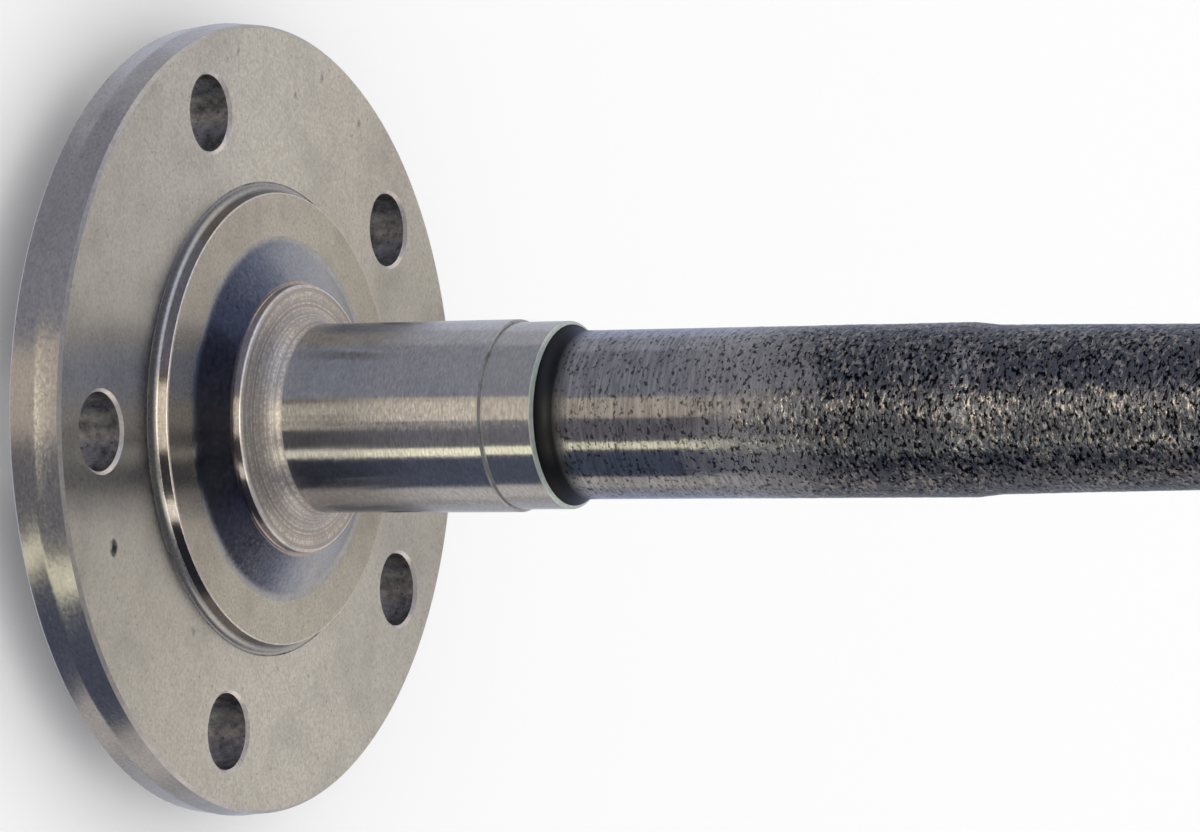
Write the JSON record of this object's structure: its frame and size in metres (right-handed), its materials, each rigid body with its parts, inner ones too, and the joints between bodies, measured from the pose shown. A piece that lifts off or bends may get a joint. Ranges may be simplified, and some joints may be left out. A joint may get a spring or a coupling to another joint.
{
  "type": "axle shaft",
  "caption": "Semi-floating drive axle shaft: round wheel flange with stud holes and pilot, stepped hub, ground bearing journal, forged bar and splined inner end with clip groove.",
  "frame": {"origin": "on the axle's axis, in the plane of the wheel pilot's end face, which the shaft stands on", "axes": "+Z along the axle from the wheel flange to the splined end; -Y towards one of the stud holes; +X completes a right-handed frame"},
  "size_m": [0.1493, 0.1494, 0.762],
  "materials": {
    "forged_steel": "turned flange and ground journal, dark forged scale on the bar"
  },
  "bodies": {
    "root": {"axle_shaft": "forged_steel"}
  },
  "joints": []
}
